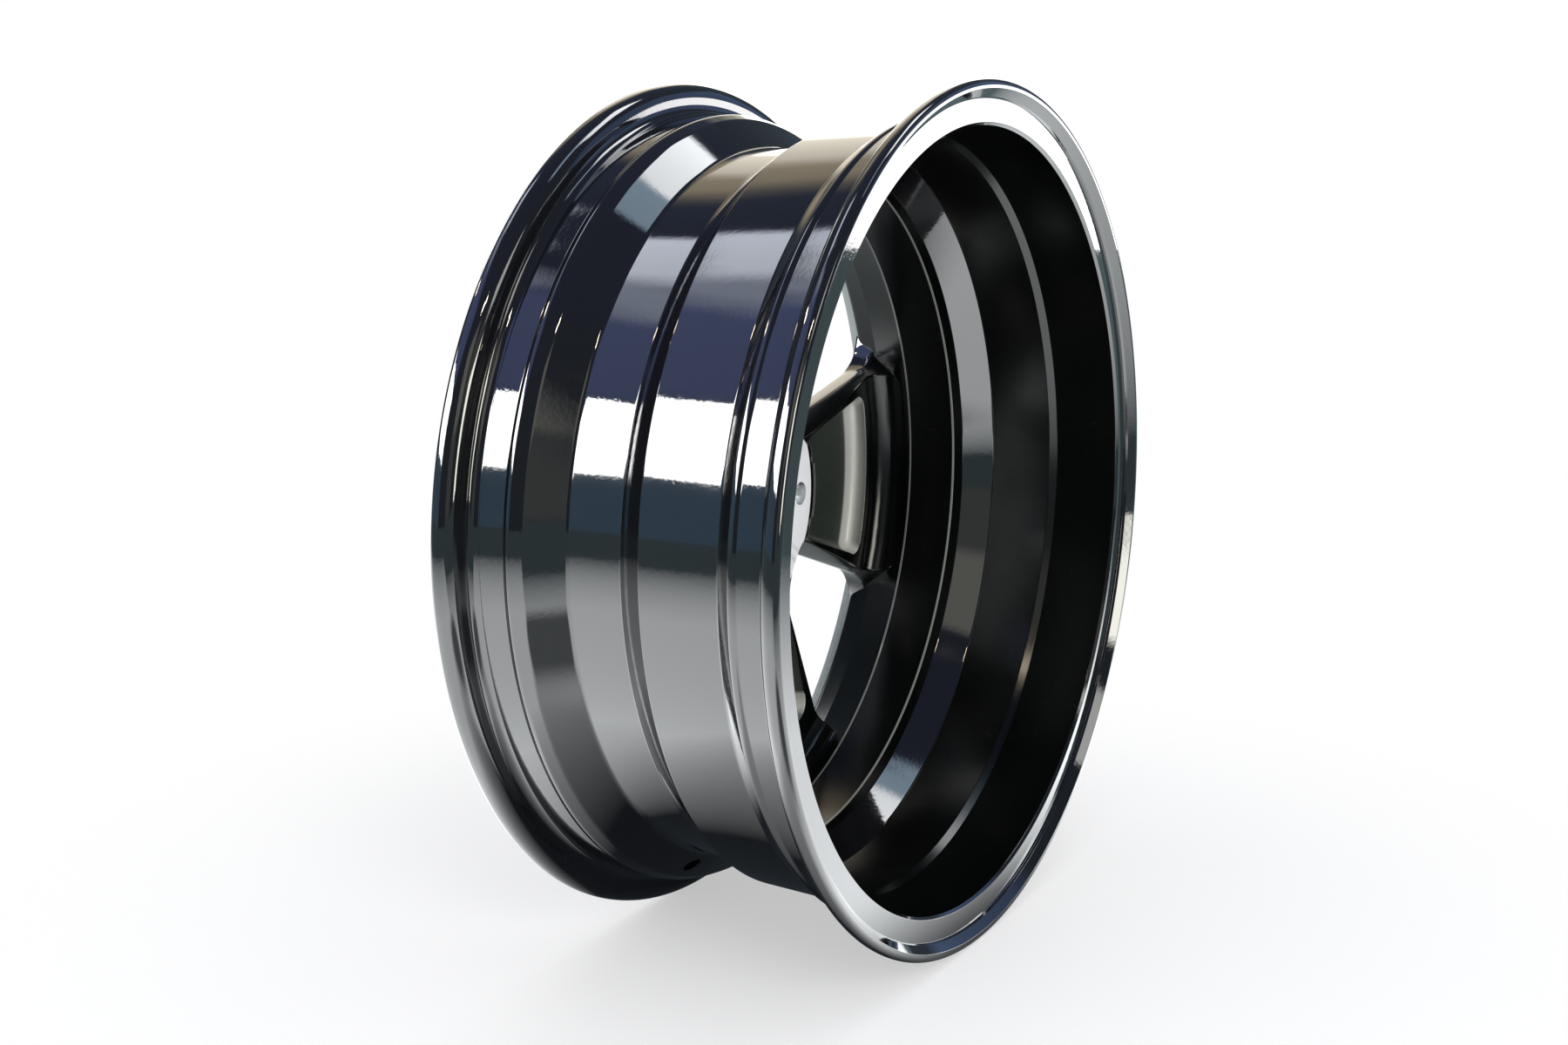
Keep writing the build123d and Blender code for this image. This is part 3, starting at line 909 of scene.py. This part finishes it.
@dataclass(frozen=True)
class PaleFloor:
    """The floor's finish: white to the camera apart from the wheel's shadow; to glossy rays a glowing table, a painted
    pool of light with a painted shadow under the wheel and two patches of painted shade.

    Every range is a pair of places, in metres from the middle of the floor, between which a mask fades.
    """

    colour: tuple = (0.93, 0.93, 0.94, 1.0)
    roughness: float = 0.6
    white: tuple = (1.0, 1.0, 1.0, 1.0)
    white_range: tuple = (0.30, 0.60)
    white_share: tuple = (0.5, 1.0)
    # Painted light: to glossy rays the floor glows like a lit table, bright near the wheel and dim further away.
    table_glow_colour: tuple = (2.9, 3.0, 3.05, 1.0)
    beyond_glow_colour: tuple = (0.18, 0.26, 0.28, 1.0)
    side_slant: float = 0.3
    side_range: tuple = (0.0, 0.25)
    beyond_starts: tuple = (0.75, 0.50)
    beyond_ends: tuple = (1.85, 1.20)
    # Painted shadow: the glow goes dark under the wheel and next to it, where the wheel's shadow falls.
    painted_shadow_colour: tuple = (0.02, 0.025, 0.03, 1.0)
    shadow_start: float = 0.14
    shadow_ends: tuple = (0.30, 0.50)
    shadow_side_range: tuple = (-0.20, -0.05)
    shadow_back_range: tuple = (0.09, 0.20)
    # Painted shade: two darker patches of the glow, one on the far side of the wheel from the camera and one spot on
    # the camera's side.
    painted_shade_colour: tuple = (0.40, 0.44, 0.44, 1.0)
    shade_across_range: tuple = (-0.20, -0.04)
    shade_along_range: tuple = (0.02, 0.12)
    shade_spot_place: tuple = (0.43, 0.29, 0.0)
    shade_spot_range: tuple = (0.10, 0.24)

    def material(self) -> Material:
        """Makes the material."""
        material, bench, shader = new_material("pale_floor")
        shader.inputs["Base Color"].default_value = self.colour
        shader.inputs["Roughness"].default_value = self.roughness
        path = bench.add("ShaderNodeLightPath").outputs
        place = bench.place()
        flat = bench.vector("MULTIPLY", place, (1.0, 1.0, 0.0)).outputs[0]
        away = bench.vector("LENGTH", flat).outputs["Value"]
        glow = bench.add("ShaderNodeEmission")
        table = self._table(bench, place, flat, away)
        bench.link(mix_colour(bench, path["Is Camera Ray"], table, self.white), glow.inputs["Color"])
        seen = bench.math("MULTIPLY", bench.ramp(away, *self.white_range, *self.white_share), path["Is Camera Ray"])
        blend = bench.add("ShaderNodeMixShader")
        share = bench.math("ADD", seen, path["Is Glossy Ray"], clamp=True)
        bench.feed_in_turn(blend, (share, shader.outputs[0], glow.outputs[0]))
        bench.link(blend.outputs[0], material.node_tree.nodes["Material Output"].inputs["Surface"])
        return material

    def _table(self, bench: NodeBench, place: NodeSocket, flat: NodeSocket, away: NodeSocket) -> NodeSocket:
        """Mixes the table's glow, with its painted shadow and painted shade, from the place, the same without its
        height, and the distance away.
        """
        across, along, _ = bench.split(place)
        side = bench.math("SUBTRACT", along, bench.math("MULTIPLY", across, self.side_slant))
        near = bench.ramp(side, *self.side_range)
        start = bench.ramp(near, 0.0, 1.0, *self.beyond_starts)
        end = bench.ramp(near, 0.0, 1.0, *self.beyond_ends)
        beyond = bench.ramp(away, start, end, smooth=False)
        # Painted shadow of the wheel: the glow fades to dark under the wheel.
        clear = bench.ramp(side, *self.shadow_side_range, *self.shadow_ends)
        under = bench.math("MULTIPLY", bench.ramp(away, self.shadow_start, clear, 1.0, 0.0, smooth=False),
                           bench.ramp(along, *self.shadow_back_range, 1.0, 0.0))
        # Painted shade: two darker patches of the glow.
        painted_shade = bench.math("MULTIPLY", bench.ramp(across, *self.shade_across_range, 1.0, 0.0),
                         bench.ramp(along, *self.shade_along_range, 1.0, 0.0))
        gap = bench.vector("DISTANCE", flat, self.shade_spot_place).outputs["Value"]
        shade_spot = bench.ramp(gap, *self.shade_spot_range, 1.0, 0.0)
        # Painted light: the table's glow, fading to a dim glow far off.
        table = mix_colour(bench, beyond, self.table_glow_colour, self.beyond_glow_colour)
        for mask, colour in ((under, self.painted_shadow_colour), (painted_shade, self.painted_shade_colour), (shade_spot, self.painted_shade_colour)):
            table = mix_colour(bench, mask, table, colour)
        return table


@dataclass
class Studio:
    """The room, camera and floor: a white backdrop, a few soft panels and lamps."""

    camera_place: tuple = (1.05653, 0.55651, 0.21454)
    camera_pitch: float = math.radians(90.0 - 10.54)
    camera_turn: float = math.radians(119.12)
    lens: float = 47.02
    sensor: float = 36.0
    clip_start: float = 0.01
    floor_height: float = -0.2484
    floor_steps: int = 96
    floor_rings: tuple = (0.5, 1.2, 3.0, 8.0)
    waver: float = 0.07
    waver_scale: float = 7.0
    waver_detail: float = 3.0
    room_low: tuple = (0.05, 0.07, 0.08, 1.0)
    room_middle: tuple = (0.06, 0.08, 0.10, 1.0)
    room_high: tuple = (0.06, 0.08, 0.14, 1.0)
    middle_range: tuple = (-0.08, 0.10)
    high_range: tuple = (0.45, 0.85)
    fill_colour: tuple = (0.75, 0.76, 0.78, 1.0)
    backdrop_colour: tuple = (1.0, 1.0, 1.0, 1.0)
    lamps: tuple = (
        Lamp("overhead_soft", (0.2, 0.1, 2.2), (0.0, 0.0, 0.0), 2.4, 16.0),
        Lamp("near_soft", (1.5, 1.4, 1.0), (-0.1, 0.0, 0.0), 0.9, 22.0),
    )
    panels: tuple = (
        Panel(-42.0, 3.0, 26.0, 12.0, 6.0, (0.26, 0.44, 0.64), 0.8),
        Panel(-42.0, 43.0, 20.0, 9.0, 8.0, (0.42, 0.54, 1.10), 0.75),
        Panel(-40.0, 22.0, 22.0, 8.8, 0.5, (1.0, 1.0, 1.0), 14.0),
        Panel(-88.0, 57.5, 7.0, 2.0, 3.0, (0.82, 0.88, 1.0), 3.6),
        Panel(-66.0, 54.0, 5.0, 1.2, 4.0, (0.70, 0.78, 1.0), 1.6),
        Panel(-120.0, 14.5, 5.0, 4.0, 2.0, (1.0, 1.0, 1.0), 4.0),
        Panel(-138.0, 38.0, 10.0, 6.0, 8.0, (0.85, 0.72, 0.52), 0.8),
        Panel(-148.0, 24.0, 7.0, 10.0, 6.0, (1.2, 1.1, 0.92), 1.1),
        Panel(-153.0, 10.0, 6.0, 9.0, 2.0, (1.0, 0.97, 0.88), 2.4),
        Panel(44.0, 8.0, 10.0, 8.0, 5.0, (0.9, 1.0, 0.95), 0.3),
        Panel(46.0, 28.0, 9.0, 9.0, 4.0, (1.0, 1.0, 0.9), 0.75),
        Panel(75.0, 23.0, 8.0, 5.0, 4.0, (1.0, 0.95, 0.95), 0.3),
        Panel(126.0, 58.0, 9.0, 3.0, 2.0, (0.6, 0.8, 1.0), 2.2),
        Panel(146.0, 52.0, 9.0, 5.0, 2.5, (0.94, 0.97, 1.0), 6.0),
        Panel(150.0, 16.0, 16.0, 9.0, 6.0, (0.17, 0.26, 0.48), 1.0),
        Panel(156.0, -4.0, 9.0, 10.0, 1.5, (1.0, 1.0, 1.0), 5.0),
        Panel(96.0, 27.0, 7.0, 4.0, 2.0, (1.0, 1.0, 0.97), 3.0),
        Panel(87.0, -2.0, 7.0, 18.0, 3.0, (1.0, 1.0, 0.90), 9.0),
        *(Panel(azimuth, elevation, half, half, 0.3, (1.0, 0.84, 0.62), 90.0) for azimuth, elevation, half in
          ((-69.0, 40.0, 0.8), (-75.0, 39.0, 0.8), (45.0, 46.0, 0.9), (52.0, 46.0, 0.9))),
    )

    def build(self) -> None:
        """Sets up the camera, the floor, the world and the lamps."""
        self._camera()
        self._floor()
        self._world()
        for lamp in self.lamps:
            lamp.hang()
        bpy.context.scene.view_settings.view_transform = "Standard"

    def _camera(self) -> None:
        """Places the camera at the photograph's angle."""
        data = bpy.data.cameras.new("camera")
        data.sensor_width = self.sensor
        data.lens = self.lens
        data.clip_start = self.clip_start
        camera = bpy.data.objects.new("camera", data)
        camera.location = self.camera_place
        camera.rotation_euler = (self.camera_pitch, 0.0, self.camera_turn)
        bpy.context.scene.collection.objects.link(camera)
        bpy.context.scene.camera = camera

    def _floor(self) -> None:
        """Lays a round pale floor under the wheel: rings of quads round a fan of triangles."""
        steps = self.floor_steps
        angle = np.arange(steps) * (TURN / steps)
        rings = np.array(self.floor_rings)[:, None]
        ring_points = np.stack(np.broadcast_arrays(rings * np.cos(angle), rings * np.sin(angle), self.floor_height),
                               axis=-1).reshape(-1, 3)
        row, col = np.meshgrid(np.arange(len(rings) - 1), np.arange(steps), indexing="ij")
        near, far, ahead = row * steps, (row + 1) * steps, (col + 1) % steps
        quads = np.stack([near + col, far + col, far + ahead, near + ahead], axis=-1).reshape(-1, 4)
        middle = np.arange(steps)
        points = np.vstack([ring_points, [[0.0, 0.0, self.floor_height]]])
        fan = np.stack([np.full(steps, len(ring_points)), middle, (middle + 1) % steps], axis=-1)
        mesh = bpy.data.meshes.new("floor")
        mesh.from_pydata(points.tolist(), [], quads.tolist() + fan.tolist())
        mesh.materials.append(PaleFloor().material())
        floor = bpy.data.objects.new("floor", mesh)
        bpy.context.scene.collection.objects.link(floor)

    def _world(self) -> None:
        """Makes the world: white to the camera, a dim room with bright panels to glossy rays, soft light besides."""
        world = bpy.data.worlds.new("studio")
        bpy.context.scene.world = world
        world.use_nodes = True
        bench = NodeBench(world.node_tree)
        plain = bench.add("ShaderNodeTexCoord").outputs["Generated"]
        haze = bench.noise(plain, self.waver_scale, self.waver_detail).outputs["Color"]
        shaken = bench.vector("MULTIPLY_ADD", haze, (self.waver,) * 3, plain).outputs[0]
        level = bench.vector("SUBTRACT", shaken, (0.5 * self.waver,) * 3).outputs[0]
        direction = bench.vector("NORMALIZE", level).outputs[0]
        height = bench.split(direction)[2]
        room = mix_colour(bench, bench.ramp(height, *self.middle_range), self.room_low, self.room_middle)
        total = mix_colour(bench, bench.ramp(height, *self.high_range), room, self.room_high)
        group = self._panel_group()
        for panel in self.panels:
            centre, across, up = self._axes(panel)
            width, rise, soft = (math.tan(math.radians(value)) for value in (panel.width, panel.height, panel.soft))
            node = bench.group(group, {"Direction": direction, "Centre": centre, "Across": across, "Up": up,
                                       "Half width": width, "Half height": rise, "Soft": soft})
            shine = tuple(value * panel.strength for value in panel.colour) + (1.0,)
            total = mix_colour(bench, node.outputs[0], total, shine)
        path = bench.add("ShaderNodeLightPath").outputs
        plain_light = mix_colour(bench, path["Is Camera Ray"], self.fill_colour, self.backdrop_colour)
        final = mix_colour(bench, path["Is Glossy Ray"], plain_light, total)
        bench.link(final, world.node_tree.nodes["Background"].inputs["Color"])

    @staticmethod
    def _axes(panel: Panel) -> tuple:
        """The directions of a panel's middle, width and height."""
        azimuth, elevation = math.radians(panel.azimuth), math.radians(panel.elevation)
        centre = Vector((math.cos(elevation) * math.cos(azimuth), math.cos(elevation) * math.sin(azimuth),
                         math.sin(elevation)))
        across = Vector((-math.sin(azimuth), math.cos(azimuth), 0.0))
        return centre, across, centre.cross(across)

    @staticmethod
    def _panel_group() -> NodeTree:
        """Builds the group that masks a far rectangle.

        The direction is carried onto the plane that touches the unit sphere at the panel's middle, where the
        mask is 1 inside the half width and half height.

        Returns:
            The group.
        """
        arrow = "NodeSocketVector"
        group, bench, given, out = new_group(
            "far_panel",
            {"Direction": (arrow, (0.0, 0.0, 1.0)), "Centre": (arrow, (0.0, 0.0, 1.0)),
             "Across": (arrow, (1.0, 0.0, 0.0)), "Up": (arrow, (0.0, 1.0, 0.0)),
             "Half width": (NUMBER, 0.1), "Half height": (NUMBER, 0.1), "Soft": (NUMBER, 0.02)},
            {"Mask": NUMBER})

        def dot(title: str) -> NodeSocket:
            """Dot product of the direction with one of the axes."""
            return bench.vector("DOT_PRODUCT", given.outputs["Direction"], given.outputs[title]).outputs["Value"]

        least_depth = 0.001
        facing = dot("Centre")
        depth = bench.math("MAXIMUM", facing, least_depth)
        mask = bench.math("GREATER_THAN", facing, 0.0)
        for title, limit in (("Across", "Half width"), ("Up", "Half height")):
            off = bench.math("ABSOLUTE", bench.math("DIVIDE", dot(title), depth))
            edge = bench.math("ADD", given.outputs[limit], given.outputs["Soft"])
            mask = bench.math("MULTIPLY", mask, bench.ramp(off, given.outputs[limit], edge, 1.0, 0.0))
        bench.link(mask, out.inputs["Mask"])
        return group


def main() -> None:
    """Builds the studio and the wheel."""
    logging.basicConfig(level=logging.INFO)
    Studio().build()
    shape = Barrel()
    section = shape.section()
    skin, turning = skin_group(), turning_group()
    # The inside gets painted highlight lines on the two turned corners of the land.
    inside = SatinPaint(highlight_lines=(shape.land_back, shape.land_front))
    # The pockets' pale band near their outer end is a painted highlight; the pale dust and highlight colour colours
    # both that band and the dust specks.
    pocket = SatinPaint(name="satin_black_pockets", colour=(0.022, 0.028, 0.022, 1.0),
                        dust_and_highlight_colour=(0.50, 0.50, 0.45, 1.0), roughness=(0.30, 0.38), ior=1.7, grain=0.00004,
                        ring=(168.0 * MM, 180.0 * MM))
    faced = TurnedMetal(name="faced_pad", dark=(0.86, 0.87, 0.88, 1.0), light=(0.97, 0.97, 0.98, 1.0),
                        roughness=(0.46, 0.60), metal=0.1)
    finishes = {Finish.GLOSS: GlossPaint().material(skin), Finish.SATIN: inside.material(skin),
                Finish.TURNED: TurnedMetal().material(turning), Finish.POCKET: pocket.material(skin),
                Finish.FACED: faced.material(turning)}
    pieces = [shape.build(section), HubAndSpokes().build(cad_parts["wheel_rim"], section)]
    for piece in pieces:
        finish = MeshArrays.read(piece.data.polygons, "material_index", 1, np.int32)
        piece.data.materials.clear()
        for kind in Finish:
            piece.data.materials.append(finishes[kind])
        piece.data.polygons.foreach_set("material_index", finish)
        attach(piece, "root")
        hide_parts("wheel_rim")
        log.info("%s: %d faces", piece.name, len(piece.data.polygons))


if __name__ == "__main__":
    main()
